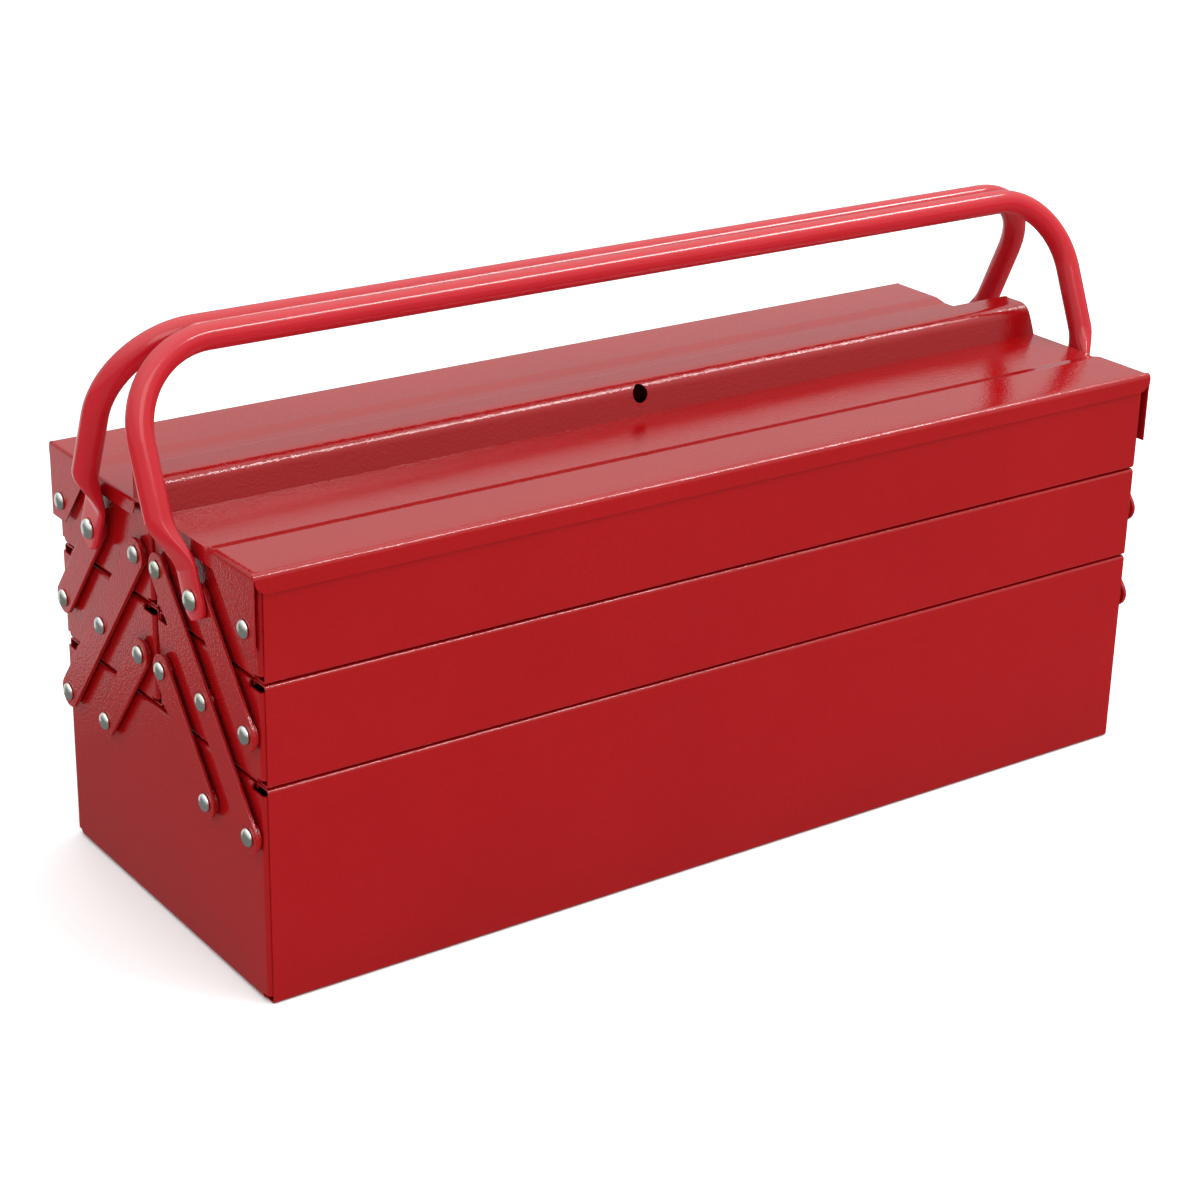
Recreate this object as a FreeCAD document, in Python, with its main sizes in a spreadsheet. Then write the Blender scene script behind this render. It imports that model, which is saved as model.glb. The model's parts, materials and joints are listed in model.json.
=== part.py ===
import FreeCAD, Part
import math
import operator
import os
import types
import Sketcher

# Cantilever toolbox: a base tin, two middle trays and two top trays that spread on flat arms,
# two lids hinged on the top trays, and two tube handles.
# Frame: origin at the middle of the underside, +X along the length, +Y to the rear, +Z up.

doc = FreeCAD.newDocument("cantilever_toolbox")
sheet = doc.addObject("Spreadsheet::Sheet", "Sizes")

# Driving dimensions, all in millimetres.
sizes = {
    # overall box
    "box_length": 530.0,       # outer face to outer face of the end panels
    "box_width": 202.0,        # outer face to outer face of the long walls
    "base_height": 108.0,
    "tray_height": 49.5,
    "tray_gap": 0.5,           # air between one rim and the tray above it
    "split_gap": 1.0,          # air between the front and rear trays
    # sheet metal
    "gauge": 1.0,              # sheet of the base and trays
    "bend_radius": 2.0,        # outside radius of every fold
    "rim_fold": 11.0,          # width of the folded rim of a long wall
    "rim_drop": 3.0,           # depth of that fold
    "end_fold": 9.0,           # width of the folds of an end panel
    "end_inset": 2.0,          # how far a long wall stops short of the end face
    "relief_width": 5.0,       # notch at the lower corners of an end panel
    "relief_height": 3.0,
    "fold_clearance": 0.4,     # one fold to the fold beside it
    # linkage
    "pivot_inset": 9.0,        # outermost pivots, in from the outer face of the long wall
    "pivot_inner": 11.0,       # innermost pivots, from the middle plane
    "pivot_drop": 25.0,        # pivots below the rim of their tin
    "arm_gauge": 2.0,
    "arm_half_width": 7.8,
    "arm_standoff": 2.0,       # arm or lid ear to end panel
    "dimple_radius": 6.4,      # pressed spacer round each arm pivot
    "part_clearance": 0.3,     # between pieces that slide past each other
    "pin_clearance": 0.05,     # rivet to hole, on the radius
    # rivets
    "rivet_shank": 2.5,
    "rivet_head": 4.4,
    "rivet_dome": 2.1,
    "rivet_tail": 4.0,
    "tail_height": 1.5,
    "grip_shank": 3.2,         # the larger rivet of a handle
    "grip_head": 5.1,
    "grip_dome": 2.7,
    # lids
    "lid_gauge": 0.9,
    "lid_rise": 3.0,           # upper face of the lids above the rim of the top trays
    "lid_step": 1.6,           # the inner zone lies this much lower
    "step_place": 59.0,        # foot of the step, from the middle plane
    "step_run": 7.0,
    "lip_depth": 9.8,
    "lid_clearance": 0.3,      # lid lip to long wall
    "lid_bend": 2.6,           # outside radius of the lip's fold
    "ear_reach": 9.6,          # ear beyond the lid pivot
    "ear_flat": 4.0,           # straight stretch at the bottom of an ear
    "ear_slant": 24.0,         # run of the ear's inner edge, along Y
    "ridge_front": 13.0,
    "ridge_back": 10.5,
    "ridge_height": 16.5,      # above the inner zone
    "ridge_lean": 4.0,         # how far the ridge's front leans back from foot to top
    "ridge_nose": 6.0,         # outside radius of the ridge's front edge
    "ridge_inset": 2.0,        # each end of the ridge inside the lid's end
    "ridge_heel": 1.8,         # outside radius of the ridge's rear edge
    "upstand_height": 15.8,
    "lock_radius": 4.5,
    "lock_height": 10.3,       # padlock hole above the inner zone
    # handles
    "tube_radius": 6.35,
    "tube_wall": 1.2,
    "grip_place": 7.0,         # tube centre from the middle plane
    "grip_rise": 75.3,         # tube centre above the lids
    "leg_offset": 14.0,        # tube centre of a leg beyond the end panel
    "grip_bend": 42.0,         # radius of the tube's centre line at the corners
    "grip_straight": 10.0,     # straight run at both ends of each bend
    "tab_width": 18.0,
    "tab_gauge": 3.0,
    "tab_rise": 14.0,          # flat tab above its pivot
    "tab_blend": 18.0,         # from flat tab to round tube
}

for row, (alias, value) in enumerate(sizes.items(), start=1):
    sheet.set("A%d" % row, alias)
    sheet.set("B%d" % row, str(value))
    sheet.setAlias("B%d" % row, alias)
doc.recompute()


class Measure:
    """A length that carries both its expression in the sheet and its value."""

    def __init__(self, text, value):
        self.text = text
        self.value = value

    def __add__(self, other):
        return combined(self, "+", other)

    def __radd__(self, other):
        return combined(other, "+", self)

    def __sub__(self, other):
        return combined(self, "-", other)

    def __rsub__(self, other):
        return combined(other, "-", self)

    def __mul__(self, other):
        return combined(self, "*", other)

    def __rmul__(self, other):
        return combined(other, "*", self)

    def __truediv__(self, other):
        return combined(self, "/", other)

    def __neg__(self):
        return combined(-1, "*", self)


signs = {"+": operator.add, "-": operator.sub, "*": operator.mul, "/": operator.truediv}


def measure(number):
    """Make a Measure of a plain number."""
    return number if isinstance(number, Measure) else Measure(str(number), number)


def combined(first, sign, second):
    first, second = measure(first), measure(second)
    return Measure("(%s %s %s)" % (first.text, sign, second.text), signs[sign](first.value, second.value))


def root_of_squares(first, second):
    return Measure("sqrt(%s ^ 2 + %s ^ 2)" % (first.text, second.text), math.hypot(first.value, second.value))


def slope_angle(across, up):
    """Angle from the vertical, in degrees."""
    return Measure("atan(%s / %s)" % (across.text, up.text), math.degrees(math.atan2(across.value, up.value)))


size = types.SimpleNamespace(**{alias: Measure("Sizes." + alias, value) for alias, value in sizes.items()})
subparts = []


# ---- modelling helpers

def new_body(label):
    """Add a body whose label names its file."""
    body = doc.addObject("PartDesign::Body", label)
    body.Label = label
    body.AllowCompound = True
    subparts.append(body)
    return body


def origin_item(body, role):
    return [item for item in body.Origin.OriginFeatures if item.Role == role][0]


def new_sketch(body, role, offset=0):
    """Attach a sketch to one of the body's own planes, moved along the plane's normal."""
    sketch = body.newObject("Sketcher::SketchObject", body.Label + "_sketch")
    sketch.AttachmentSupport = [(origin_item(body, role), "")]
    sketch.MapMode = "FlatFace"
    sketch.setExpression("AttachmentOffset.Base.z", measure(offset).text)
    return sketch


def constrain(sketch, kind, *arguments):
    """Add a constraint; a Measure as the last argument binds it to the sheet."""
    if isinstance(arguments[-1], Measure):
        index = sketch.addConstraint(Sketcher.Constraint(kind, *arguments[:-1], arguments[-1].value))
        sketch.setExpression("Constraints[%d]" % index, arguments[-1].text)
    else:
        sketch.addConstraint(Sketcher.Constraint(kind, *arguments))


def pin_point(sketch, curve, place, point):
    """Tie one point of a curve to its two measures from the sketch's origin."""
    for kind, length in zip(("DistanceX", "DistanceY"), point):
        constrain(sketch, kind, -1, 1, curve, place, measure(length))


def rounded_corner(before, corner, after, radius):
    """Tangent points and centre of an arc that rounds a corner, from plain vectors."""
    to_before = (before - corner).normalize()
    to_after = (after - corner).normalize()
    half = to_before.getAngle(to_after) / 2
    cut = radius / math.tan(half)
    middle = (to_before + to_after).normalize()
    return corner + to_before * cut, corner + to_after * cut, corner + middle * (radius / math.sin(half))


def outline(sketch, points, rounds=None, closed=True):
    """Draw a path through points, pairs of measures; rounds gives a radius to some of them by number."""
    rounds = rounds or {}
    count = len(points)
    corners = [FreeCAD.Vector(measure(across).value, measure(up).value, 0) for across, up in points]
    arrive = list(corners)
    leave = list(corners)
    centres = {}
    for k, radius in rounds.items():
        arrive[k], leave[k], centres[k] = rounded_corner(
            corners[k - 1], corners[k], corners[(k + 1) % count], radius.value)
    runs = range(count if closed else count - 1)
    lines = [sketch.addGeometry(Part.LineSegment(leave[k], arrive[(k + 1) % count])) for k in runs]
    for k in range(count):
        if k in rounds:
            round_corner(sketch, lines[k - 1], lines[k], corners[k], arrive[k], leave[k], centres[k],
                         rounds[k], points[k])
        elif closed or 0 < k < count - 1:
            constrain(sketch, "Coincident", lines[k - 1], 2, lines[k], 1)
            pin_point(sketch, lines[k], 1, points[k])
    if not closed:
        pin_point(sketch, lines[0], 1, points[0])
        pin_point(sketch, lines[-1], 2, points[-1])


def round_corner(sketch, line_in, line_out, corner, start, stop, centre, radius, point):
    """Join two lines with a tangent arc whose lines still meet in the corner's own point."""
    turn = (corner - start).cross(stop - corner).z
    first, last = (start, stop) if turn > 0 else (stop, start)
    angle = [math.atan2(place.y - centre.y, place.x - centre.x) for place in (first, last)]
    curve = sketch.addGeometry(Part.ArcOfCircle(
        Part.Circle(centre, FreeCAD.Vector(0, 0, 1), radius.value), angle[0], angle[1]))
    at_start, at_stop = (1, 2) if turn > 0 else (2, 1)
    constrain(sketch, "Tangent", line_in, 2, curve, at_start)
    constrain(sketch, "Tangent", line_out, 1, curve, at_stop)
    constrain(sketch, "Radius", curve, radius)
    mark = sketch.addGeometry(Part.Point(corner), True)
    pin_point(sketch, mark, 1, point)
    constrain(sketch, "PointOnObject", mark, 1, line_in)
    constrain(sketch, "PointOnObject", mark, 1, line_out)


def circle(sketch, across, up, radius):
    """Add a circle whose centre and radius are measures."""
    centre = FreeCAD.Vector(measure(across).value, measure(up).value, 0)
    curve = sketch.addGeometry(Part.Circle(centre, FreeCAD.Vector(0, 0, 1), radius.value))
    pin_point(sketch, curve, 3, (across, up))
    constrain(sketch, "Radius", curve, radius)


def rectangle(low_across, low_up, high_across, high_up):
    """Corners of an upright rectangle."""
    return [(low_across, low_up), (high_across, low_up), (high_across, high_up), (low_across, high_up)]


def pad(body, sketch, length, backwards=False):
    """Raise a sketch into the body's solid."""
    feature = body.newObject("PartDesign::Pad", body.Label + "_pad")
    feature.Profile = sketch
    feature.setExpression("Length", length.text)
    feature.Reversed = backwards
    return feature


def cut_circles(body, role, offset, circles, length):
    """Cut round holes through the body, to both sides of the sketch's plane."""
    doc.recompute()
    before = body.Shape.Volume
    sketch = new_sketch(body, role, offset)
    for across, up, radius in circles:
        circle(sketch, across, up, radius)
    feature = body.newObject("PartDesign::Pocket", body.Label + "_holes")
    feature.Profile = sketch
    feature.SideType = "Symmetric"
    feature.setExpression("Length", length.text)
    doc.recompute()
    if body.Shape.Volume >= before:
        raise RuntimeError("the holes of %s cut nothing" % body.Label)


def round_edges(body, radius, chosen):
    """Round the edges of the body's present solid that the test picks."""
    doc.recompute()
    base = body.Tip
    names = ["Edge%d" % number for number, edge in enumerate(base.Shape.Edges, start=1) if chosen(edge)]
    if not names:
        raise RuntimeError("no edge to round on %s" % body.Label)
    feature = body.newObject("PartDesign::Fillet", body.Label + "_fillet")
    feature.Base = (base, names)
    feature.setExpression("Radius", radius.text)
    return feature


def near(value, target):
    return abs(value - target) < 0.01


# ---- levels and pivots

floors = [measure(0), size.base_height + size.tray_gap, size.base_height + 2 * size.tray_gap + size.tray_height]
heights = [size.base_height, size.tray_height, size.tray_height]
outer = size.box_width / 2
split = size.split_gap / 2
half_length = size.box_length / 2
rim_heights = [floor + height for floor, height in zip(floors, heights)]
pivot_outer = outer - size.pivot_inset
pivot_shift = (pivot_outer - size.pivot_inner) / 2
pivot_rise = size.tray_height + size.tray_gap
halves = {-1: "front", 1: "rear"}
ends = {-1: "left", 1: "right"}
tiers = ["base", "mid_tray", "top_tray"]

# what is riveted at each level, and how many pivot shifts it stands in from the lowest pivots
pivots = [{"long_arm": 0, "lower_link": 1},
          {"upper_link": 0, "long_arm": 1, "lower_link": 2},
          {"lid": 0, "handle": 1, "long_arm": 2}]


def pivot_height(level):
    return rim_heights[level] - size.pivot_drop


def pivot_place(side, shifts):
    """Place of a pivot along Y; side is -1 in front and 1 at the rear."""
    return side * (pivot_outer - shifts * pivot_shift)


# ---- tins: channel and end panels

def channel(label, low, high, floor, height):
    """Two long walls, floor and folded rims, bent from one sheet."""
    body = new_body(label)
    top = floor + height
    inner = size.bend_radius - size.gauge
    points = [(low, floor), (high, floor), (high, top),
              (high - size.rim_fold, top), (high - size.rim_fold, top - size.rim_drop),
              (high - size.rim_fold + size.gauge, top - size.rim_drop),
              (high - size.rim_fold + size.gauge, top - size.gauge),
              (high - size.gauge, top - size.gauge), (high - size.gauge, floor + size.gauge),
              (low + size.gauge, floor + size.gauge), (low + size.gauge, top - size.gauge),
              (low + size.rim_fold - size.gauge, top - size.gauge),
              (low + size.rim_fold - size.gauge, top - size.rim_drop),
              (low + size.rim_fold, top - size.rim_drop), (low + size.rim_fold, top), (low, top)]
    rounds = {0: size.bend_radius, 1: size.bend_radius, 2: size.bend_radius, 15: size.bend_radius,
              7: inner, 8: inner, 9: inner, 10: inner}
    sketch = new_sketch(body, "YZ_Plane", size.end_inset - half_length)
    outline(sketch, points, rounds)
    pad(body, sketch, size.box_length - 2 * size.end_inset)


def end_panel(label, end, low, high, floor, height, holes):
    """End wall whose four folds lie inside the channel, with holes for its rivets."""
    body = new_body(label)
    top = floor + height
    left = low + size.gauge
    right = high - size.gauge
    shelf = floor + size.gauge
    notch = shelf + size.relief_height
    slot = top - size.rim_drop - size.fold_clearance
    rim_left = low + size.rim_fold + size.fold_clearance
    rim_right = high - size.rim_fold - size.fold_clearance
    floor_left = left + size.relief_width
    floor_right = right - size.relief_width
    face = end * half_length
    wall = new_sketch(body, "YZ_Plane", face)
    outline(wall, [(floor_left, shelf), (floor_right, shelf), (floor_right, notch), (right, notch),
                   (right, slot), (rim_right, slot), (rim_right, top), (rim_left, top),
                   (rim_left, slot), (left, slot), (left, notch), (floor_left, notch)])
    pad(body, wall, size.gauge, end > 0)
    folds = new_sketch(body, "YZ_Plane", end * (half_length - size.gauge))
    for fold in (rectangle(left, notch, left + size.gauge, slot),
                 rectangle(right - size.gauge, notch, right, slot),
                 rectangle(floor_left, shelf, floor_right, shelf + size.gauge),
                 rectangle(rim_left, top - size.gauge, rim_right, top)):
        outline(folds, fold)
    pad(body, folds, size.end_fold - size.gauge, end > 0)
    cut_circles(body, "YZ_Plane", face, holes, 4 * size.gauge)
    sides = [left.value, right.value]
    rims = [shelf.value, top.value]

    def on_fold(edge, depth, inset):
        middle = edge.CenterOfMass
        across = any(near(abs(middle.y - place), inset) for place in sides)
        up = any(near(abs(middle.z - place), inset) for place in rims)
        level = all(near(vertex.X, depth) for vertex in edge.Vertexes)
        return level and edge.Length > size.relief_width.value and (across or up)

    round_edges(body, size.bend_radius, lambda edge: on_fold(edge, face.value, 0))
    inner = (end * (half_length - size.gauge)).value
    round_edges(body, size.bend_radius - size.gauge, lambda edge: on_fold(edge, inner, size.gauge.value))


def rivet_holes(level, sides):
    """Places and radii of the rivet holes that an end panel of this level carries."""
    shank = {"handle": size.grip_shank}
    return [(pivot_place(side, shifts), pivot_height(level),
             shank.get(use, size.rivet_shank) + size.pin_clearance)
            for side in sides for use, shifts in pivots[level].items()]


def tin(label, level, low, high, sides):
    """One tin: its channel and both end panels."""
    channel(label + "_channel", low, high, floors[level], heights[level])
    for end, word in ends.items():
        end_panel("%s_%s_panel" % (label, word), end, low, high, floors[level], heights[level],
                  rivet_holes(level, sides))


tin("base", 0, -outer, outer, (-1, 1))
for level in (1, 2):
    tin("front_" + tiers[level], level, -outer, -split, (-1,))
    tin("rear_" + tiers[level], level, split, outer, (1,))


# ---- arms and links

step_length = root_of_squares(pivot_shift, pivot_rise)


def under_handle(level, shifts, steps, hole):
    """True for the upper link's top hole, which takes the handle's rivet."""
    return steps == 1 and level + hole == 2 and shifts + hole == 1


def arm(label, end, side, level, shifts, steps):
    """Flat bar standing on its lower pivot and leaning to the middle, with a spacer at each hole."""
    body = new_body(label)
    inside = end * (half_length + size.arm_standoff)
    bar = new_sketch(body, "YZ_Plane", inside)
    outline(bar, rectangle(-size.arm_half_width, 0, size.arm_half_width, steps * step_length))
    pad(body, bar, size.arm_gauge, end < 0)
    tips = new_sketch(body, "YZ_Plane", inside)
    for hole in (0, steps):
        circle(tips, 0, hole * step_length, size.arm_half_width)
    pad(body, tips, size.arm_gauge, end < 0)
    dimples = new_sketch(body, "YZ_Plane", inside)
    holes = []
    for hole in range(steps + 1):
        circle(dimples, 0, hole * step_length, size.dimple_radius)
        shank = size.grip_shank if under_handle(level, shifts, steps, hole) else size.rivet_shank
        holes.append((0, hole * step_length, shank + size.pin_clearance))
    pad(body, dimples, size.arm_standoff - size.part_clearance, end > 0)
    cut_circles(body, "YZ_Plane", inside, holes, 8 * size.arm_gauge)
    body.setExpression("Placement.Base.y", pivot_place(side, shifts).text)
    body.setExpression("Placement.Base.z", pivot_height(level).text)
    body.setExpression("Placement.Rotation.Axis.x", "1")
    body.setExpression("Placement.Rotation.Axis.z", "0")
    body.setExpression("Placement.Rotation.Angle", (side * slope_angle(pivot_shift, pivot_rise)).text)


arms = {"long_arm": (0, 0, 2), "lower_link": (0, 1, 1), "upper_link": (1, 0, 1)}
for side, half in halves.items():
    for name, (level, shifts, steps) in arms.items():
        for end, word in ends.items():
            arm("%s_%s_%s" % (half, name, word), end, side, level, shifts, steps)


# ---- rivets

def rivets(label, side, level, shifts, head, dome, shank, grip):
    """The same rivet at both ends of the box: tail inside the wall, domed head outside what it holds."""
    body = new_body(label)
    start = half_length - size.gauge
    seat = half_length + grip + size.part_clearance
    sketch = new_sketch(body, "XY_Plane")
    outline(sketch, [(start - size.tail_height, 0), (seat + dome, 0), (seat + dome, head), (seat, head),
                     (seat, shank), (start, shank), (start, size.rivet_tail),
                     (start - size.tail_height, size.rivet_tail)], {2: dome * 0.92})
    turned = body.newObject("PartDesign::Revolution", label + "_turned")
    turned.Profile = sketch
    turned.ReferenceAxis = (origin_item(body, "X_Axis"), [""])
    turned.Angle = 360
    pair = body.newObject("PartDesign::Mirrored", label + "_pair")
    pair.Originals = [turned]
    pair.MirrorPlane = (origin_item(body, "YZ_Plane"), [""])
    body.Tip = pair
    body.setExpression("Placement.Base.y", pivot_place(side, shifts).text)
    body.setExpression("Placement.Base.z", pivot_height(level).text)


link_grip = size.arm_standoff + size.arm_gauge
handle_grip = link_grip + size.part_clearance + size.tab_gauge
ear_grip = size.arm_standoff + size.lid_gauge
for side, half in halves.items():
    for level, uses in enumerate(pivots):
        for use, shifts in uses.items():
            label = "%s_%s_%s_rivets" % (half, tiers[level], use)
            if use == "handle":
                rivets(label, side, level, shifts, size.grip_head, size.grip_dome, size.grip_shank, handle_grip)
            else:
                grip = ear_grip if use == "lid" else link_grip
                rivets(label, side, level, shifts, size.rivet_head, size.rivet_dome, size.rivet_shank, grip)


# ---- lids

lid_top = rim_heights[2] + size.lid_rise
zone = lid_top - size.lid_step
lid_edge = outer + size.lid_clearance + size.lid_gauge
lid_half = half_length + size.arm_standoff + size.lid_gauge
ridge_half = lid_half - size.ridge_inset
lip_foot = lid_top - size.lip_depth
ridge_top = zone + size.ridge_height
seam = size.ridge_back + size.part_clearance
under_bend = size.lid_bend - size.lid_gauge


def lid(label, side, inner_points, skirt_end):
    """Pressed lid: one folded section along X, with a skirt and an ear closing each end.

    Places along Y are written for the half that the lid covers, so they grow away from the middle.
    """
    body = new_body(label)
    section = inner_points + [
        (size.step_place - size.lid_gauge / 3, zone - size.lid_gauge),
        (size.step_place + size.step_run - size.lid_gauge / 3, lid_top - size.lid_gauge),
        (lid_edge - size.lid_gauge, lid_top - size.lid_gauge), (lid_edge - size.lid_gauge, lip_foot),
        (lid_edge, lip_foot), (lid_edge, lid_top),
        (size.step_place + size.step_run, lid_top), (size.step_place, zone)]
    first = len(inner_points)
    rounds = {first + 2: under_bend, first + 5: size.lid_bend}
    sketch = new_sketch(body, "YZ_Plane", -lid_half)
    outline(sketch, [(side * across, up) for across, up in section], rounds)
    pad(body, sketch, 2 * lid_half)
    ear_out = pivot_outer + size.ear_reach
    ear_foot = pivot_height(2) - size.ear_reach
    corner = pivot_outer - size.ear_flat
    inside = size.lid_gauge / 2
    skirt = [(skirt_end, zone - inside), (skirt_end, lip_foot), (corner - size.ear_slant, lip_foot),
             (corner, ear_foot), (ear_out, ear_foot), (ear_out, lid_top - inside),
             (size.step_place + size.step_run, lid_top - inside), (size.step_place, zone - inside)]
    for end in ends:
        plate = new_sketch(body, "YZ_Plane", end * lid_half)
        outline(plate, [(side * across, up) for across, up in skirt],
                {3: size.ear_reach / 2, 4: size.ear_reach * 0.9})
        pad(body, plate, size.lid_gauge, end > 0)
    cut_circles(body, "YZ_Plane", 0,
                [(pivot_place(side, 0), pivot_height(2), size.rivet_shank + size.pin_clearance)], 3 * lid_half)
    return body


def lock_hole(body):
    cut_circles(body, "XZ_Plane", 0, [(0, zone + size.lock_height, size.lock_radius)], 4 * size.ridge_front)


def ridge(label, side):
    """Hollow ridge joined to the front lid's inner edge; it reaches over the middle plane."""
    body = new_body(label)
    gauge = size.lid_gauge
    front = size.ridge_front
    crown = front - size.ridge_lean
    back = -size.ridge_back
    foot = zone - gauge
    section = [(front, foot), (front, zone), (crown, ridge_top), (back, ridge_top), (back, foot),
               (back + gauge, foot), (back + gauge, ridge_top - gauge), (crown - gauge, ridge_top - gauge),
               (front - gauge, zone), (front - gauge, foot)]
    rounds = {2: size.ridge_nose, 3: size.ridge_heel,
              6: size.ridge_heel - gauge, 7: size.ridge_nose - gauge}
    sketch = new_sketch(body, "YZ_Plane", -ridge_half)
    outline(sketch, [(side * across, up) for across, up in section], rounds)
    pad(body, sketch, 2 * ridge_half)
    inside = gauge / 2
    cap = [(back + inside, foot), (front - inside, foot), (front - inside, zone),
           (crown - inside, ridge_top - inside), (back + inside, ridge_top - inside)]
    for end in ends:
        closing = new_sketch(body, "YZ_Plane", end * ridge_half)
        outline(closing, [(side * across, up) for across, up in cap],
                {3: size.ridge_nose - inside, 4: size.ridge_heel - inside})
        pad(body, closing, gauge, end > 0)
    lock_hole(body)


# the front lid ends at the foot of its ridge
lid("front_lid", -1, [(size.ridge_front, zone), (size.ridge_front, zone - size.lid_gauge)], size.ridge_front)
ridge("front_lid_ridge", -1)

# the rear lid ends in an upstand that closes against the back of the ridge
upstand_top = zone + size.upstand_height
upstand = [(seam + size.lid_gauge, zone), (seam + size.lid_gauge, upstand_top), (seam, upstand_top),
           (seam, zone - size.lid_gauge)]
lock_hole(lid("rear_lid", 1, upstand, seam))


# ---- handles

grip_away = pivot_outer - pivot_shift - size.grip_place
grip_up = lid_top + size.grip_rise - pivot_height(2)
grip_half = half_length + size.leg_offset
reach = root_of_squares(grip_away, grip_up)
tab_inside = half_length + link_grip + size.part_clearance
tab_middle = tab_inside + size.tab_gauge / 2


bar_half = grip_half - size.grip_bend - size.grip_straight
bend_foot = reach - size.grip_bend - size.grip_straight


def lean_handle(body, side):
    """Hang a piece of a handle on its pivots and lean it to the middle plane."""
    body.setExpression("Placement.Base.y", pivot_place(side, 1).text)
    body.setExpression("Placement.Base.z", pivot_height(2).text)
    body.setExpression("Placement.Rotation.Axis.x", "1")
    body.setExpression("Placement.Rotation.Axis.z", "0")
    body.setExpression("Placement.Rotation.Angle", (side * slope_angle(grip_away, grip_up)).text)


def handle_bar(label, side):
    """Straight tube between the two bends."""
    body = new_body(label)
    wall = new_sketch(body, "YZ_Plane", -bar_half)
    circle(wall, 0, reach, size.tube_radius)
    circle(wall, 0, reach, size.tube_radius - size.tube_wall)
    pad(body, wall, 2 * bar_half)
    lean_handle(body, side)


def handle_bend(label, side, end):
    """Bend of the tube between a leg and the bar."""
    body = new_body(label)
    spine = new_sketch(body, "XZ_Plane")
    outline(spine, [(end * grip_half, bend_foot), (end * grip_half, reach), (end * bar_half, reach)],
            {1: size.grip_bend}, closed=False)
    wall = new_sketch(body, "XY_Plane", bend_foot)
    circle(wall, end * grip_half, 0, size.tube_radius)
    circle(wall, end * grip_half, 0, size.tube_radius - size.tube_wall)
    tube = body.newObject("PartDesign::AdditivePipe", label + "_tube")
    tube.Profile = wall
    tube.Spine = spine
    lean_handle(body, side)


def handle_leg(label, side, end):
    """Straight leg of the tube, whose end is pressed flat and pierced."""
    body = new_body(label)
    foot = size.tab_rise + size.tab_blend
    wall = new_sketch(body, "XY_Plane", foot)
    circle(wall, end * grip_half, 0, size.tube_radius)
    circle(wall, end * grip_half, 0, size.tube_radius - size.tube_wall)
    pad(body, wall, bend_foot - foot)
    round_end = new_sketch(body, "XY_Plane", foot)
    circle(round_end, end * grip_half, 0, size.tube_radius)
    flat_end = new_sketch(body, "XY_Plane", size.tab_rise)
    half_tab = size.tab_gauge / 2
    outline(flat_end, rectangle(end * tab_middle - half_tab, -size.tab_width / 2,
                                end * tab_middle + half_tab, size.tab_width / 2),
            {k: half_tab * 0.9 for k in range(4)})
    blend = body.newObject("PartDesign::AdditiveLoft", label + "_blend")
    blend.Profile = round_end
    blend.Sections = [flat_end]
    tab = new_sketch(body, "YZ_Plane", end * tab_inside)
    outline(tab, rectangle(-size.tab_width / 2, -size.tab_width / 2, size.tab_width / 2, size.tab_rise),
            {0: size.tab_width * 0.4, 1: size.tab_width * 0.4})
    pad(body, tab, size.tab_gauge, end < 0)
    cut_circles(body, "YZ_Plane", end * tab_inside, [(0, 0, size.grip_shank + size.pin_clearance)],
                3 * size.tab_gauge)
    lean_handle(body, side)


for side, half in halves.items():
    handle_bar(half + "_handle_bar", side)
    for end, word in ends.items():
        handle_bend("%s_handle_%s_bend" % (half, word), side, end)
        handle_leg("%s_handle_%s_leg" % (half, word), side, end)


# ---- check and write

doc.recompute()
failed = [item.Name for item in doc.Objects if "Invalid" in item.State or "Error" in item.State]
for body in subparts:
    if body.Shape.isNull() or not body.Shape.isValid() or not body.Shape.Solids:
        failed.append(body.Label)
if failed:
    raise RuntimeError("failed: " + ", ".join(failed))
os.makedirs("parts", exist_ok=True)
for body in subparts:
    body.Shape.exportStep("parts/%s.step" % body.Label)
print("wrote %d sub-parts" % len(subparts))
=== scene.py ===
import json
import math
import bmesh
import bpy
from mathutils import Matrix, Vector


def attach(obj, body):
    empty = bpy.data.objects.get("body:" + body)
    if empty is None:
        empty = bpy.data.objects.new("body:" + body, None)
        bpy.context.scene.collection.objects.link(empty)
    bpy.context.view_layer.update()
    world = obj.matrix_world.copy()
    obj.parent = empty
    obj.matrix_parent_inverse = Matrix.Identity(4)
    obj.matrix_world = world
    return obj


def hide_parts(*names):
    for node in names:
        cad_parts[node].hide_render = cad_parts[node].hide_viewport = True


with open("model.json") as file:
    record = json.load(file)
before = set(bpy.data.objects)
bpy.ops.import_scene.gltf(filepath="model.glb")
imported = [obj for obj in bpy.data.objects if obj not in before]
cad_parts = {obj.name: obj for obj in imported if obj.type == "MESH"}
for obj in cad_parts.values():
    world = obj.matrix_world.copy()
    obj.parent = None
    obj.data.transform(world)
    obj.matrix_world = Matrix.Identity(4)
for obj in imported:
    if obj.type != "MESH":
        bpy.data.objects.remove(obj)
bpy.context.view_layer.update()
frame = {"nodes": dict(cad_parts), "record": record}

nodes = frame["nodes"]
mm = 0.001
halves = {"front": -1, "rear": 1}
ends = {"left": -1, "right": 1}
print("frame loaded:", len(nodes), "nodes")

boxPaint = {"color": (0.285, 0.0032, 0.0045), "worn": (0.27, 0.003, 0.0042), "roughness": 0.05,
            "peelScale": 800, "peelDepth": 0.0002}
handlePaint = {"color": (0.42, 0.008, 0.015), "worn": (0.40, 0.0075, 0.014), "roughness": 0.12,
               "peelScale": 300, "peelDepth": 0.00003}
zincPlate = {"color": (0.78, 0.79, 0.77), "tint": (0.66, 0.75, 0.63), "roughness": 0.24, "pitScale": 1500,
             "pitDepth": 0.00005}


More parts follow.
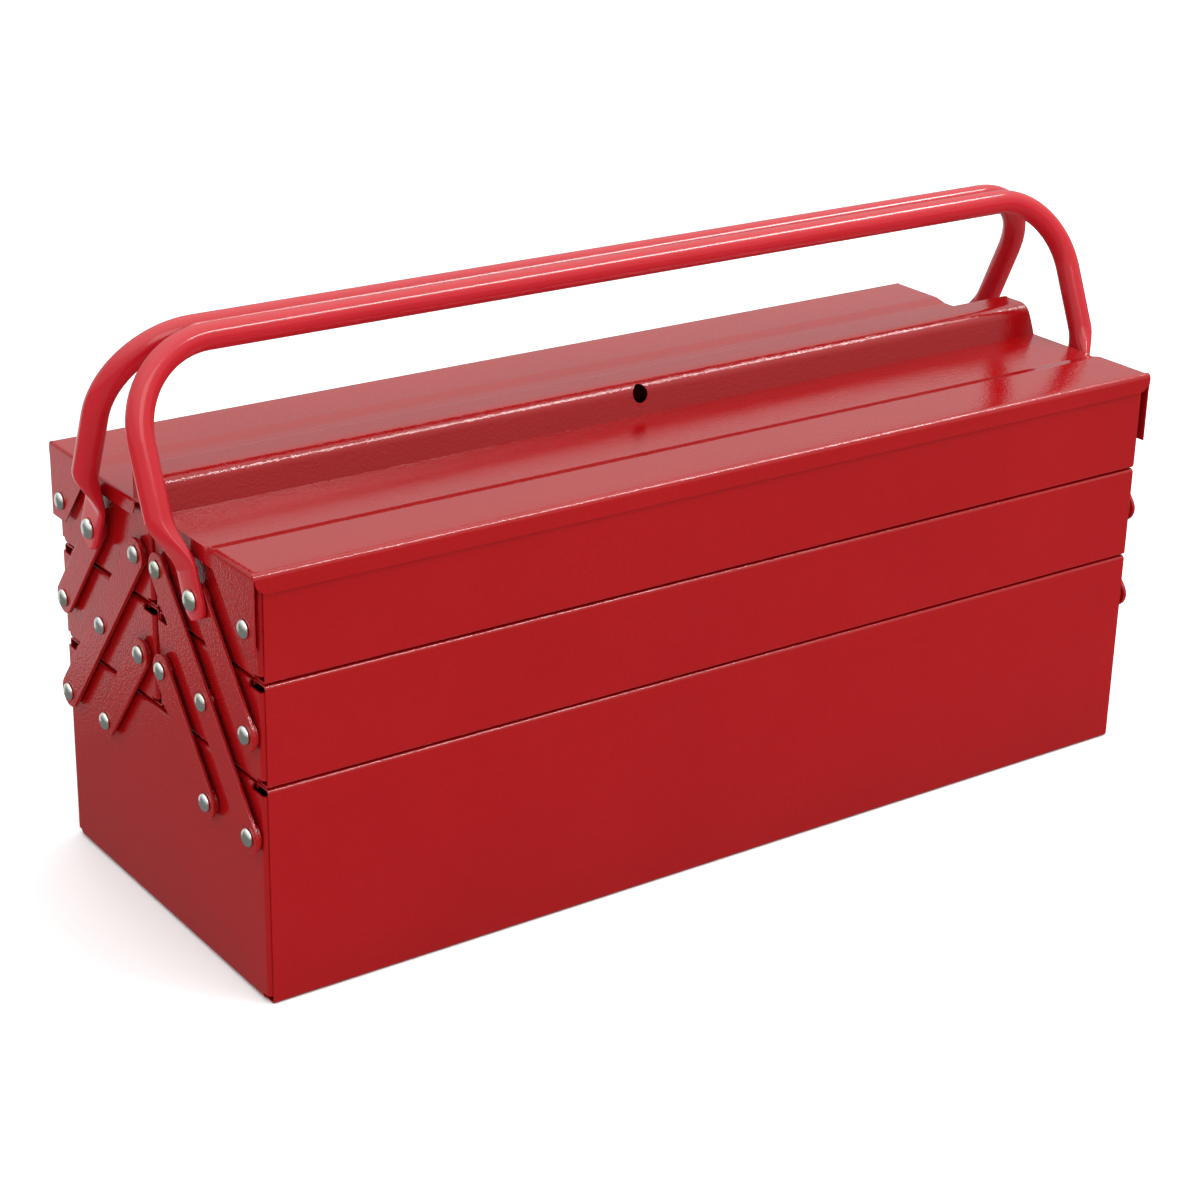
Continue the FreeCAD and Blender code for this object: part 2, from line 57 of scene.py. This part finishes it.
def newMaterial(name):
    material = bpy.data.materials.new(name)
    material.use_nodes = True
    tree = material.node_tree
    return material, tree, tree.nodes["Principled BSDF"]


def noise(tree, scale, detail, place):
    texture = tree.nodes.new("ShaderNodeTexNoise")
    texture.inputs["Scale"].default_value = scale
    texture.inputs["Detail"].default_value = detail
    tree.links.new(place.outputs["Object"], texture.inputs["Vector"])
    return texture.outputs["Fac"]


def ramp(tree, value, stops):
    node = tree.nodes.new("ShaderNodeValToRGB")
    for element, (place, color) in zip(node.color_ramp.elements, stops):
        element.position = place
        element.color = (*color, 1)
    tree.links.new(value, node.inputs["Fac"])
    return node.outputs["Color"]


def spread(tree, value, low, high):
    node = tree.nodes.new("ShaderNodeMapRange")
    node.inputs["From Min"].default_value = 0.3
    node.inputs["From Max"].default_value = 0.7
    node.inputs["To Min"].default_value = low
    node.inputs["To Max"].default_value = high
    tree.links.new(value, node.inputs["Value"])
    return node.outputs["Result"]


def glossPaint(name, look):
    material, tree, shader = newMaterial(name)
    place = tree.nodes.new("ShaderNodeTexCoord")
    cloud = noise(tree, 9, 3, place)                      # slow drift in the depth of the colour
    color = ramp(tree, cloud, [(0.3, look["worn"]), (0.62, look["color"])])
    speck = noise(tree, 900, 1, place)                    # a few grains of dust under the paint
    dust = ramp(tree, speck, [(0.80, (1, 1, 1)), (0.86, (0.45, 0.4, 0.4))])
    mix = tree.nodes.new("ShaderNodeMix")
    mix.data_type = "RGBA"
    mix.blend_type = "MULTIPLY"
    mix.inputs["Factor"].default_value = 1
    tree.links.new(color, mix.inputs["A"])
    tree.links.new(dust, mix.inputs["B"])
    tree.links.new(mix.outputs["Result"], shader.inputs["Base Color"])
    smear = noise(tree, 35, 4, place)
    tree.links.new(spread(tree, smear, look["roughness"] - 0.02, look["roughness"] + 0.03),
                   shader.inputs["Roughness"])
    peel = noise(tree, look["peelScale"], 2, place)       # orange peel
    bump = tree.nodes.new("ShaderNodeBump")
    bump.inputs["Strength"].default_value = 0.6
    bump.inputs["Distance"].default_value = look["peelDepth"]
    tree.links.new(peel, bump.inputs["Height"])
    tree.links.new(bump.outputs["Normal"], shader.inputs["Normal"])
    return material


def zincMetal(name, look):
    material, tree, shader = newMaterial(name)
    place = tree.nodes.new("ShaderNodeTexCoord")
    film = noise(tree, 160, 2, place)                     # greenish passivation film
    color = ramp(tree, film, [(0.42, look["color"]), (0.64, look["tint"])])
    tree.links.new(color, shader.inputs["Base Color"])
    grain = noise(tree, look["pitScale"], 3, place)
    tree.links.new(spread(tree, grain, look["roughness"] - 0.08, look["roughness"] + 0.1),
                   shader.inputs["Roughness"])
    bump = tree.nodes.new("ShaderNodeBump")
    bump.inputs["Strength"].default_value = 0.1
    bump.inputs["Distance"].default_value = look["pitDepth"]
    tree.links.new(grain, bump.inputs["Height"])
    tree.links.new(bump.outputs["Normal"], shader.inputs["Normal"])
    shader.inputs["Metallic"].default_value = 1
    return material


redPaint = glossPaint("redGlossPaint", boxPaint)
tubePaint = glossPaint("tubeGlossPaint", handlePaint)
zinc = zincMetal("zincPlate", zincPlate)
finishes = {"red_paint": redPaint, "handle_paint": tubePaint, "zinc_steel": zinc}

for entry in frame["record"]["subparts"]:
    mesh = nodes[entry["node"]].data
    if not mesh.materials:
        mesh.materials.append(None)
    for k in range(len(mesh.materials)):
        mesh.materials[k] = finishes[entry["material_slot"]]
print("materials made")


def finishPiece(bm, name, body, stands, slotName, gauge=0, edge=0.25, up=True, holes=()):
    bmesh.ops.remove_doubles(bm, verts=bm.verts, dist=0.001)
    bmesh.ops.recalc_face_normals(bm, faces=bm.faces)
    bm.normal_update()
    if gauge:                                             # an open sheet: its outer side is known
        flat = [f for f in bm.faces if abs(f.normal.z) > 0.9]
        pick = max if up else min
        face = pick(flat, key=lambda f: f.calc_center_median().z)
        if (face.normal.z > 0) != up:
            bmesh.ops.reverse_faces(bm, faces=bm.faces)
    bmesh.ops.scale(bm, vec=(mm, mm, mm), verts=bm.verts)
    mesh = bpy.data.meshes.new(name)
    bm.to_mesh(mesh)
    bm.free()
    piece = bpy.data.objects.new(name, mesh)
    bpy.context.scene.collection.objects.link(piece)
    mesh.materials.append(finishes[slotName])
    if gauge:
        skin = piece.modifiers.new("sheet", "SOLIDIFY")
        skin.thickness = gauge * mm
        skin.offset = -1
        skin.use_even_offset = True
    if holes:
        drill(piece, holes)
    piece.data.shade_smooth()
    piece.data.set_sharp_from_angle(angle=math.radians(40))
    soft = piece.modifiers.new("edges", "BEVEL")
    soft.width = edge * mm
    soft.segments = 2
    soft.limit_method = "ANGLE"
    soft.angle_limit = math.radians(50)
    soft.use_clamp_overlap = True
    even = piece.modifiers.new("shading", "WEIGHTED_NORMAL")
    even.keep_sharp = True
    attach(piece, body)
    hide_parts(*stands)
    return piece


def drill(piece, holes):
    cutters = []
    for axis, place, radius, length in holes:
        bm = bmesh.new()
        bmesh.ops.create_cone(bm, cap_ends=True, segments=40, radius1=radius * mm, radius2=radius * mm,
                              depth=length * mm)
        turn = Vector((0, 0, 1)).rotation_difference(Vector(axis)).to_matrix()
        bmesh.ops.rotate(bm, cent=(0, 0, 0), matrix=turn, verts=bm.verts)
        bmesh.ops.translate(bm, vec=Vector(place) * mm, verts=bm.verts)
        mesh = bpy.data.meshes.new("cutter")
        bm.to_mesh(mesh)
        bm.free()
        cutter = bpy.data.objects.new("cutter", mesh)
        bpy.context.scene.collection.objects.link(cutter)
        cutters.append(cutter)
        hole = piece.modifiers.new("hole", "BOOLEAN")
        hole.operation = "DIFFERENCE"
        hole.solver = "EXACT"
        hole.use_self = True                              # spacers and plates run into each other
        hole.object = cutter
    bpy.context.view_layer.update()
    done = bpy.data.meshes.new_from_object(piece.evaluated_get(bpy.context.evaluated_depsgraph_get()))
    piece.modifiers.clear()
    piece.data = done
    for cutter in cutters:
        bpy.data.objects.remove(cutter)


def softenEdges(bm, edges, offset, segments):
    bmesh.ops.bevel(bm, geom=list(edges), offset=offset, offset_type="OFFSET", affect="EDGES",
                    segments=segments, profile=0.5, material=-1, clamp_overlap=True)


def roundCorners(bm, corners, offset, segments=6):
    bmesh.ops.bevel(bm, geom=list(corners), offset=offset, offset_type="OFFSET", affect="VERTICES",
                    segments=segments, profile=0.5, material=-1, clamp_overlap=True)


def near(a, b, slack=0.01):
    return abs(a - b) < slack


channelLook = {"halfLength": 263, "gauge": 1.0, "bend": 2.0, "rim": 11, "drop": 3, "dropBend": 1.2,
               "wallArea": 20000, "panelMargin": 17.5, "panelSlope": 3.5, "panelRise": 0.8}


def foldedChannel(name, body, low, high, floor, top, look, pressed=False):
    bm = bmesh.new()
    rim, drop = look["rim"], look["drop"]
    section = [(low + rim, top - drop), (low + rim, top), (low, top), (low, floor),
               (high, floor), (high, top), (high - rim, top), (high - rim, top - drop)]
    strip = [bm.verts.new((-look["halfLength"], y, z)) for y, z in section]
    edges = [bm.edges.new(pair) for pair in zip(strip, strip[1:])]
    made = bmesh.ops.extrude_edge_only(bm, edges=edges)["geom"]
    moved = [v for v in made if isinstance(v, bmesh.types.BMVert)]
    bmesh.ops.translate(bm, vec=(2 * look["halfLength"], 0, 0), verts=moved)

    def runs(y, z):
        return [e for e in bm.edges if all(near(v.co.y, y) and near(v.co.z, z) for v in e.verts)]

    folds = [e for y, z in ((low, top), (low, floor), (high, floor), (high, top)) for e in runs(y, z)]
    softenEdges(bm, folds, look["bend"], 4)
    softenEdges(bm, runs(low + rim, top) + runs(high - rim, top), look["dropBend"], 3)
    if pressed:                                           # shallow raised panel on both long walls
        bm.normal_update()
        walls = [f for f in bm.faces if abs(f.normal.y) > 0.99 and f.calc_area() > look["wallArea"]]
        bmesh.ops.recalc_face_normals(bm, faces=bm.faces)
        out = 1 if any(f.normal.y * f.calc_center_median().y > 0 for f in walls) else -1
        bmesh.ops.inset_individual(bm, faces=walls, thickness=look["panelMargin"], depth=0)
        bmesh.ops.inset_individual(bm, faces=walls, thickness=look["panelSlope"],
                                   depth=out * look["panelRise"])
    return finishPiece(bm, name, body, [name.replace("Painted", "")], "red_paint",
                       gauge=look["gauge"], up=False)


tierLevels = {"mid_tray": (108.5, 158.0), "top_tray": (158.5, 208.0)}
foldedChannel("base_channelPainted", "base", -101, 101, 0, 108, channelLook, pressed=True)
for half, side in halves.items():
    low, high = sorted((side * 0.5, side * 101))
    for tier, (floor, top) in tierLevels.items():
        foldedChannel(f"{half}_{tier}_channelPainted", f"{half}_{tier}", low, high, floor, top,
                      channelLook)
print("channels folded")

armLook = {"halfWidth": 7.8, "inner": 267.0, "outer": 269.0, "pivotOut": 92, "shift": 40.5, "rise": 50,
           "lowest": 83, "hole": 2.55, "handleHole": 3.25, "edge": 0.45, "segments": 48,
           "spacerRadius": 6.4, "spacerTaper": 0.4, "spacerFoot": 265.3, "spacerLap": 0.2}
# first tier, pivots in from the outermost one, and tiers spanned
armSpans = {"long_arm": (0, 0, 2), "lower_link": (0, 1, 1), "upper_link": (1, 0, 1)}


def flatArm(half, side, name, end, word, look):
    level, shifts, steps = armSpans[name]
    foot = Vector((0, side * (look["pivotOut"] - shifts * look["shift"]),
                   look["lowest"] + level * look["rise"]))
    along = Vector((0, -side * look["shift"], look["rise"]))
    bm = bmesh.new()
    bmesh.ops.create_circle(bm, cap_ends=True, segments=look["segments"], radius=look["halfWidth"])
    upper = [v for v in bm.verts if v.co.y > 0.01]
    bmesh.ops.translate(bm, vec=(0, along.length * steps, 0), verts=upper)
    depth = look["inner"] - look["spacerFoot"]
    for step in range(steps + 1):                         # the spacer pressed out round each pivot
        ring = bmesh.ops.create_cone(bm, cap_ends=True, segments=32, radius1=look["spacerRadius"],
                                     radius2=look["spacerRadius"] - look["spacerTaper"],
                                     depth=depth + look["spacerLap"])["verts"]
        bmesh.ops.translate(bm, vec=(0, along.length * step, -0.5 * depth + 0.5 * look["spacerLap"]),
                            verts=ring)
    plate = [f for f in bm.faces if len(f.verts) == look["segments"]]
    made = bmesh.ops.extrude_face_region(bm, geom=plate, use_keep_orig=True)["geom"]
    bmesh.ops.translate(bm, vec=(0, 0, look["outer"] - look["inner"]),
                        verts=[v for v in made if isinstance(v, bmesh.types.BMVert)])
    # local z outwards along X, local y up the arm
    out = Vector((end, 0, 0))
    upward = along.normalized()
    across = upward.cross(out)
    turn = Matrix((across, upward, out)).transposed()
    bmesh.ops.rotate(bm, cent=(0, 0, 0), matrix=turn, verts=bm.verts)
    bmesh.ops.translate(bm, vec=foot + out * look["inner"], verts=bm.verts)
    holes = []
    for step in range(steps + 1):
        place = foot + along * step
        wide = steps == 1 and level + step == 2           # the handle's thicker rivet passes here
        radius = look["handleHole"] if wide else look["hole"]
        middle = (end * (look["inner"] + look["outer"]) / 2, place.y, place.z)
        holes.append(((1, 0, 0), middle, radius, 14))
    node = f"{half}_{name}_{word}"
    return finishPiece(bm, node + "Painted", f"{half}_{name}s", [node], "red_paint",
                       edge=look["edge"], holes=holes)


for half, side in halves.items():
    for name in armSpans:
        for word, end in ends.items():
            flatArm(half, side, name, end, word, armLook)
print("arms made")

lidLook = {"halfLength": 267.9, "edge": 102.2, "top": 211.0, "step": 1.6, "stepPlace": 59, "stepRun": 7,
           "stepRound": 0.9, "gauge": 0.6, "bend": 3.0, "slit": 1.6, "outerCut": 92.5,
           "lipFoot": 201.2, "lipRound": 5.5, "earFoot": 173.4, "earStart": 64.5, "earCorner": 88,
           "earEdge": 101.5, "earRound": 7.5, "earHeel": 2.6,
           "ridgeFront": 13, "ridgeBack": 10.5, "ridgeTop": 225.9, "ridgeLean": 4, "ridgeEnd": 1.6,
           "ridgeEndRound": 5.0, "ridgeFillet": 2.6, "nose": 6.0, "heel": 1.8,
           "lidGap": 0.3, "upstandTop": 225.2, "upstandFillet": 1.8, "lockRadius": 4.5, "lockHeight": 219.7,
           "pivotY": 92, "pivotZ": 183, "pivotHole": 2.55}


def pressedLid(half, side, inner, ridged, look):
    bm = bmesh.new()
    halfLength, edge, zone = look["halfLength"], look["edge"], look["top"] - look["step"]
    corners = ((-halfLength, inner), (halfLength, inner), (halfLength, edge), (-halfLength, edge))
    bm.faces.new([bm.verts.new((x, y, zone)) for x, y in corners])
    skirtStart = look["ridgeFront"] if ridged else inner
    cuts = [look["stepPlace"], look["stepPlace"] + look["stepRun"], look["earStart"], look["outerCut"]]
    for place in cuts + ([skirtStart] if ridged else []):
        bmesh.ops.bisect_plane(bm, geom=bm.verts[:] + bm.edges[:] + bm.faces[:], plane_co=(0, place, 0),
                               plane_no=(0, 1, 0))
    for v in bm.verts:                                    # the slope of the step, then the outer zone
        climb = min(max((v.co.y - look["stepPlace"]) / look["stepRun"], 0), 1)
        v.co.z += look["step"] * climb

    def madeVerts(result):
        return [v for v in result["geom"] if isinstance(v, bmesh.types.BMVert)]

    def cornersAt(end, y, z):
        return [v for v in bm.verts if near(v.co.z, z) and near(v.co.y, y) and v.co.x * end > 0]

    # end lips and ears
    for end in (-1, 1):
        rimEdges = [e for e in bm.edges if all(near(v.co.x, end * halfLength)
                                               and v.co.y > skirtStart - 0.01 for v in e.verts)]
        lip = madeVerts(bmesh.ops.extrude_edge_only(bm, edges=rimEdges))
        for v in lip:
            v.co.z = look["lipFoot"]
            v.co.y = min(v.co.y, look["earEdge"])
        earEdges = [e for e in bm.edges if all(v in lip and v.co.y > look["earStart"] - 0.01
                                               for v in e.verts)]
        ear = madeVerts(bmesh.ops.extrude_edge_only(bm, edges=earEdges))
        for v in ear:
            v.co.z = look["earFoot"]
            v.co.y = look["earCorner"] if v.co.y < 90 else look["earEdge"]
        roundCorners(bm, [v for v in ear if v.co.y > 90], look["earRound"])
        roundCorners(bm, cornersAt(end, look["earCorner"], look["earFoot"]), look["earHeel"])
        roundCorners(bm, cornersAt(end, skirtStart, look["lipFoot"]), look["lipRound"])
    # long lip, cut short at both ends so that a slit stays beside the ears
    lipEdges = [e for e in bm.edges if all(near(v.co.y, edge) and near(v.co.z, look["top"])
                                           for v in e.verts)]
    lip = madeVerts(bmesh.ops.extrude_edge_only(bm, edges=lipEdges))
    for v in lip:
        v.co.z = look["lipFoot"]
        v.co.x -= math.copysign(look["slit"], v.co.x)
    roundCorners(bm, lip, look["lipRound"])
    if ridged:
        field = [f for f in bm.faces if f.calc_center_median().y < skirtStart and near(f.normal.z ** 2, 1)]
        top = madeVerts(bmesh.ops.extrude_face_region(bm, geom=field))
        for v in top:
            v.co.z = look["ridgeTop"]
            v.co.x -= math.copysign(look["ridgeEnd"], v.co.x)
            if v.co.y > 0:
                v.co.y -= look["ridgeLean"]
        bmesh.ops.delete(bm, geom=[f for f in field if f.is_valid and near(f.calc_center_median().z, zone)],
                         context="FACES")
    else:
        rimEdges = [e for e in bm.edges if all(near(v.co.y, inner) and near(v.co.z, zone) for v in e.verts)]
        for v in madeVerts(bmesh.ops.extrude_edge_only(bm, edges=rimEdges)):
            v.co.z = look["upstandTop"]

    def along(test):
        return [e for e in bm.edges if all(test(v.co) for v in e.verts)]

    def folded(edges):
        return [e for e in edges if len(e.link_faces) == 2 and e.calc_face_angle() > 0.9]

    if ridged:
        crest = look["ridgeTop"]
        nose = skirtStart - look["ridgeLean"]
        softenEdges(bm, along(lambda c: near(c.z, crest) and near(c.y, nose)), look["nose"], 7)
        softenEdges(bm, folded(along(lambda c: c.z > zone + 0.5 and c.y < skirtStart + 0.01
                                     and abs(c.x) > halfLength - 3)), look["ridgeEndRound"], 6)
        softenEdges(bm, folded(along(lambda c: c.y < -look["ridgeBack"] + 0.01 and c.z > crest - 0.01)),
                    look["heel"], 5)
        softenEdges(bm, along(lambda c: near(c.z, zone) and near(c.y, skirtStart)), look["ridgeFillet"], 6)
    else:
        softenEdges(bm, along(lambda c: near(c.z, zone) and near(c.y, inner)), look["upstandFillet"], 4)
    softenEdges(bm, along(lambda c: near(c.z, look["top"]) and near(c.y, edge)), look["bend"], 5)
    for end in (-1, 1):
        softenEdges(bm, along(lambda c: near(c.x, end * halfLength) and c.z > zone - 0.01
                              and c.y > skirtStart + 1), look["bend"], 5)
    stepLines = along(lambda c: near(c.y, cuts[0])) + along(lambda c: near(c.y, cuts[1]))
    softenEdges(bm, stepLines, look["stepRound"], 3)
    bmesh.ops.scale(bm, vec=(1, side, 1), verts=bm.verts)
    holes = [((1, 0, 0), (0, side * look["pivotY"], look["pivotZ"]), look["pivotHole"], 560),
             ((0, 1, 0), (0, 0, look["lockHeight"]), look["lockRadius"], 60)]
    node = f"{half}_lid"
    stands = [node, node + "_ridge"] if ridged else [node]
    return finishPiece(bm, node + "Painted", node, stands, "red_paint",
                       gauge=look["gauge"], edge=0.2, holes=holes)


pressedLid("front", -1, -lidLook["ridgeBack"], True, lidLook)
pressedLid("rear", 1, lidLook["ridgeBack"] + lidLook["lidGap"], False, lidLook)
print("lids pressed")

handleLook = {"pivotY": 51.5, "pivotZ": 183, "barY": 7, "barZ": 286.3, "half": 279, "radius": 6.35,
              "bend": 42, "tabMiddle": 270.8, "tabThick": 3.0, "tabHalf": 9.0, "tabFoot": 9,
              "flatTo": 13, "roundFrom": 38, "square": 0.62, "hole": 3.25, "ringSegments": 32}


def tubeRing(bm, middle, out, thick, wide, square, look):
    verts = []
    for k in range(look["ringSegments"]):
        angle = 2 * math.pi * k / look["ringSegments"]
        c, s = math.cos(angle), math.sin(angle)
        across = thick * math.copysign(abs(c) ** (1 - square), c)
        through = wide * math.copysign(abs(s) ** (1 - square), s)
        verts.append(bm.verts.new(middle + out * across + Vector((0, through, 0))))
    return verts


def bentHandle(half, side, look):
    bm = bmesh.new()
    rise = Vector((0, -side * (look["pivotY"] - look["barY"]), look["barZ"] - look["pivotZ"]))
    reach, bend, radius = rise.length, look["bend"], look["radius"]
    outward = Vector((1, 0, 0))
    rings = []
    # built upright with x along the bar: foot of the tab, tab, shoulder, leg, bend, bar
    for k in range(6, 0, -1):
        angle = k / 6 * math.pi / 2 * 0.96
        low = Vector((look["tabMiddle"], 0, -1 - (look["tabFoot"] - 1) * math.sin(angle)))
        rings.append(tubeRing(bm, low, outward, look["tabThick"] / 2,
                              look["tabHalf"] * (0.45 + 0.55 * math.cos(angle)), look["square"], look))
    stations = [(-1, 1), (6, 1)]
    for k in range(14, -1, -1):
        t = k / 14
        stations.append((look["roundFrom"] + (look["flatTo"] - look["roundFrom"]) * t, t))
    for height, t in stations:
        ease = t * t * (3 - 2 * t)
        middle = Vector((look["half"] + (look["tabMiddle"] - look["half"]) * ease, 0, height))
        rings.append(tubeRing(bm, middle, outward, radius + (look["tabThick"] / 2 - radius) * ease,
                              radius + (look["tabHalf"] - radius) * ease, look["square"] * ease, look))
    for k in range(19):
        angle = k / 18 * math.pi / 2
        out = Vector((math.cos(angle), 0, math.sin(angle)))
        middle = Vector((look["half"] - bend, 0, reach - bend)) + out * bend
        rings.append(tubeRing(bm, middle, out, radius, radius, 0, look))
    rings.append(tubeRing(bm, Vector((0, 0, reach)), Vector((0, 0, 1)), radius, radius, 0, look))
    for lower, upper in zip(rings, rings[1:]):
        for k in range(look["ringSegments"]):
            bm.faces.new((lower[k - 1], lower[k], upper[k], upper[k - 1]))
    bm.faces.new(rings[0])
    mirrored = bmesh.ops.duplicate(bm, geom=bm.verts[:] + bm.edges[:] + bm.faces[:])["geom"]
    bmesh.ops.scale(bm, vec=(-1, 1, 1), verts=[v for v in mirrored if isinstance(v, bmesh.types.BMVert)])
    bmesh.ops.remove_doubles(bm, verts=bm.verts, dist=0.01)
    lean = math.atan2(rise.y, rise.z)
    bmesh.ops.rotate(bm, cent=(0, 0, 0), matrix=Matrix.Rotation(-lean, 3, "X"), verts=bm.verts)
    bmesh.ops.translate(bm, vec=(0, side * look["pivotY"], look["pivotZ"]), verts=bm.verts)
    node = f"{half}_handle"
    holes = [((1, 0, 0), (end * look["tabMiddle"], side * look["pivotY"], look["pivotZ"]),
              look["hole"], 12) for end in (-1, 1)]
    stands = [f"{node}_{part}" for part in ("bar", "left_bend", "left_leg", "right_bend", "right_leg")]
    return finishPiece(bm, node + "Painted", node, stands, "handle_paint", edge=0.25, holes=holes)


for half, side in halves.items():
    bentHandle(half, side, handleLook)
print("handles bent")

rivetLook = {"head": 4.4, "dome": 2.1, "shank": 2.5, "tail": 4.0, "tailHeight": 1.5, "wall": 264.0,
             "handleHead": 5.1, "handleDome": 2.7, "handleShank": 3.2, "steps": 10, "segments": 40,
             "seats": {"lid": 268.2, "handle": 272.6}, "armSeat": 269.3, "swell": 0.9}
rivetUses = {"base": ("long_arm", "lower_link"), "mid_tray": ("upper_link", "long_arm", "lower_link"),
             "top_tray": ("lid", "handle", "long_arm")}


def turnedRivets(half, side, tier, level, use, shifts, look):
    head, dome, shank = look["head"], look["dome"], look["shank"]
    if use == "handle":
        head, dome, shank = look["handleHead"], look["handleDome"], look["handleShank"]
    wall, tail = look["wall"], look["tail"]
    tailEnd = wall - look["tailHeight"]
    seat = look["seats"].get(use, look["armSeat"])
    outline = [(tailEnd, 0), (tailEnd, tail), (wall, tail), (wall, shank), (seat, shank), (seat, head)]
    for k in range(1, look["steps"] + 1):                 # a low dome, a little fuller than an ellipse
        angle = k / look["steps"] * math.pi / 2
        outline.append((seat + dome * math.sin(angle) ** look["swell"],
                        head * math.cos(angle) ** look["swell"]))
    bm = bmesh.new()
    for end in (-1, 1):
        strip = [bm.verts.new((end * x, radius, 0)) for x, radius in outline]
        line = [bm.edges.new(pair) for pair in zip(strip, strip[1:])]
        bmesh.ops.spin(bm, geom=line, cent=(0, 0, 0), axis=(1, 0, 0), angle=2 * math.pi,
                       steps=look["segments"])
    place = (0, side * (armLook["pivotOut"] - shifts * armLook["shift"]),
             armLook["lowest"] + level * armLook["rise"])
    bmesh.ops.translate(bm, vec=place, verts=bm.verts)
    node = f"{half}_{tier}_{use}_rivets"
    body = "base" if tier == "base" else f"{half}_{tier}"
    return finishPiece(bm, node + "Turned", body, [node], "zinc_steel", edge=0.15)


for half, side in halves.items():
    for level, (tier, uses) in enumerate(rivetUses.items()):
        for shifts, use in enumerate(uses):
            turnedRivets(half, side, tier, level, use, shifts, rivetLook)
print("rivets turned")

studio = {"belowFront": 0.04, "belowLeft": 0.14, "horizonGlow": 0.7, "lowSkyGlow": 0.2, "zenithGlow": 2.1,
          "keyPlace": (-0.6, -2.4, 2.2), "keySize": (1.6, 1.6), "keyPower": 14,
          "stripPlace": (1.35, -0.95, 2.2), "stripSize": (2.2, 0.2), "stripPower": 30,
          "cardLeft": -0.86, "cardRight": 1.0, "cardY": 1.2, "cardFoot": -0.45, "cardTop": 0.25,
          "cardGlow": 0.85, "aimHeight": 0.12}


def makeFloor():
    bm = bmesh.new()
    bmesh.ops.create_grid(bm, x_segments=1, y_segments=1, size=9)
    mesh = bpy.data.meshes.new("floor")
    bm.to_mesh(mesh)
    bm.free()
    floor = bpy.data.objects.new("floor", mesh)
    bpy.context.scene.collection.objects.link(floor)
    material, tree, shader = newMaterial("paleFloor")
    shader.inputs["Base Color"].default_value = (0.93, 0.93, 0.93, 1)
    shader.inputs["Roughness"].default_value = 0.9
    shader.inputs["Specular IOR Level"].default_value = 0
    mesh.materials.append(material)
    floor.visible_glossy = False


def makeWorld():
    world = bpy.data.worlds.new("studio")
    bpy.context.scene.world = world
    world.use_nodes = True
    tree = world.node_tree
    place = tree.nodes.new("ShaderNodeTexCoord")
    split = tree.nodes.new("ShaderNodeSeparateXYZ")
    tree.links.new(place.outputs["Generated"], split.inputs["Vector"])

    def fade(output, start, stop, low, high):
        node = tree.nodes.new("ShaderNodeMapRange")
        for socket, value in (("From Min", start), ("From Max", stop), ("To Min", low), ("To Max", high)):
            node.inputs[socket].default_value = value
        tree.links.new(split.outputs[output], node.inputs["Value"])
        return node.outputs["Result"]

    def larger(first, second):
        node = tree.nodes.new("ShaderNodeMath")
        node.operation = "MAXIMUM"
        tree.links.new(first, node.inputs[0])
        tree.links.new(second, node.inputs[1])
        return node.outputs["Value"]

    horizon = fade("Z", -0.1, 0.12, studio["belowFront"], studio["horizonGlow"])
    zenith = fade("Z", 0.12, 1.0, studio["lowSkyGlow"], studio["zenithGlow"])
    left = fade("X", -0.3, -0.9, 0.0, studio["belowLeft"])
    tree.links.new(larger(larger(horizon, zenith), left), tree.nodes["Background"].inputs["Strength"])
    tree.nodes["Background"].inputs["Color"].default_value = (1, 1, 1, 1)


def makeLight(name, place, size, power):
    lamp = bpy.data.lights.new(name, "AREA")
    lamp.shape = "RECTANGLE"
    lamp.size, lamp.size_y = size
    lamp.energy = power
    light = bpy.data.objects.new(name, lamp)
    light.location = place
    aim = Vector((0, 0, studio["aimHeight"])) - Vector(place)
    light.rotation_euler = aim.to_track_quat("-Z", "Y").to_euler()
    bpy.context.scene.collection.objects.link(light)
    return light


def makeCard():                                           # a pale card that only reflections can see
    bm = bmesh.new()
    left, right, foot, top = (studio["card" + word] for word in ("Left", "Right", "Foot", "Top"))
    corners = [(x, studio["cardY"], z) for x, z in ((left, foot), (right, foot), (right, top), (left, top))]
    bm.faces.new([bm.verts.new(corner) for corner in corners])
    mesh = bpy.data.meshes.new("card")
    bm.to_mesh(mesh)
    bm.free()
    card = bpy.data.objects.new("card", mesh)
    bpy.context.scene.collection.objects.link(card)
    material, tree, shader = newMaterial("cardGlow")
    shader.inputs["Base Color"].default_value = (0, 0, 0, 1)
    shader.inputs["Emission Color"].default_value = (1, 1, 1, 1)
    shader.inputs["Emission Strength"].default_value = studio["cardGlow"]
    mesh.materials.append(material)
    card.visible_camera = False
    card.visible_diffuse = False
    card.visible_shadow = False
    card.visible_transmission = False


makeFloor()
makeWorld()
makeLight("keyLight", studio["keyPlace"], studio["keySize"], studio["keyPower"])
makeLight("stripLight", studio["stripPlace"], studio["stripSize"], studio["stripPower"])
makeCard()
bpy.context.scene.view_settings.view_transform = "Standard"

cameraLook = {"place": (-0.7614, -1.0379, 0.6395), "turn": (67.416, -1.27, -35.223), "lens": 80.64}
lens = bpy.data.cameras.new("camera")
lens.lens = cameraLook["lens"]
lens.sensor_width = 36
camera = bpy.data.objects.new("camera", lens)
camera.location = cameraLook["place"]
camera.rotation_euler = [math.radians(angle) for angle in cameraLook["turn"]]
bpy.context.scene.collection.objects.link(camera)
bpy.context.scene.camera = camera
print("studio set")
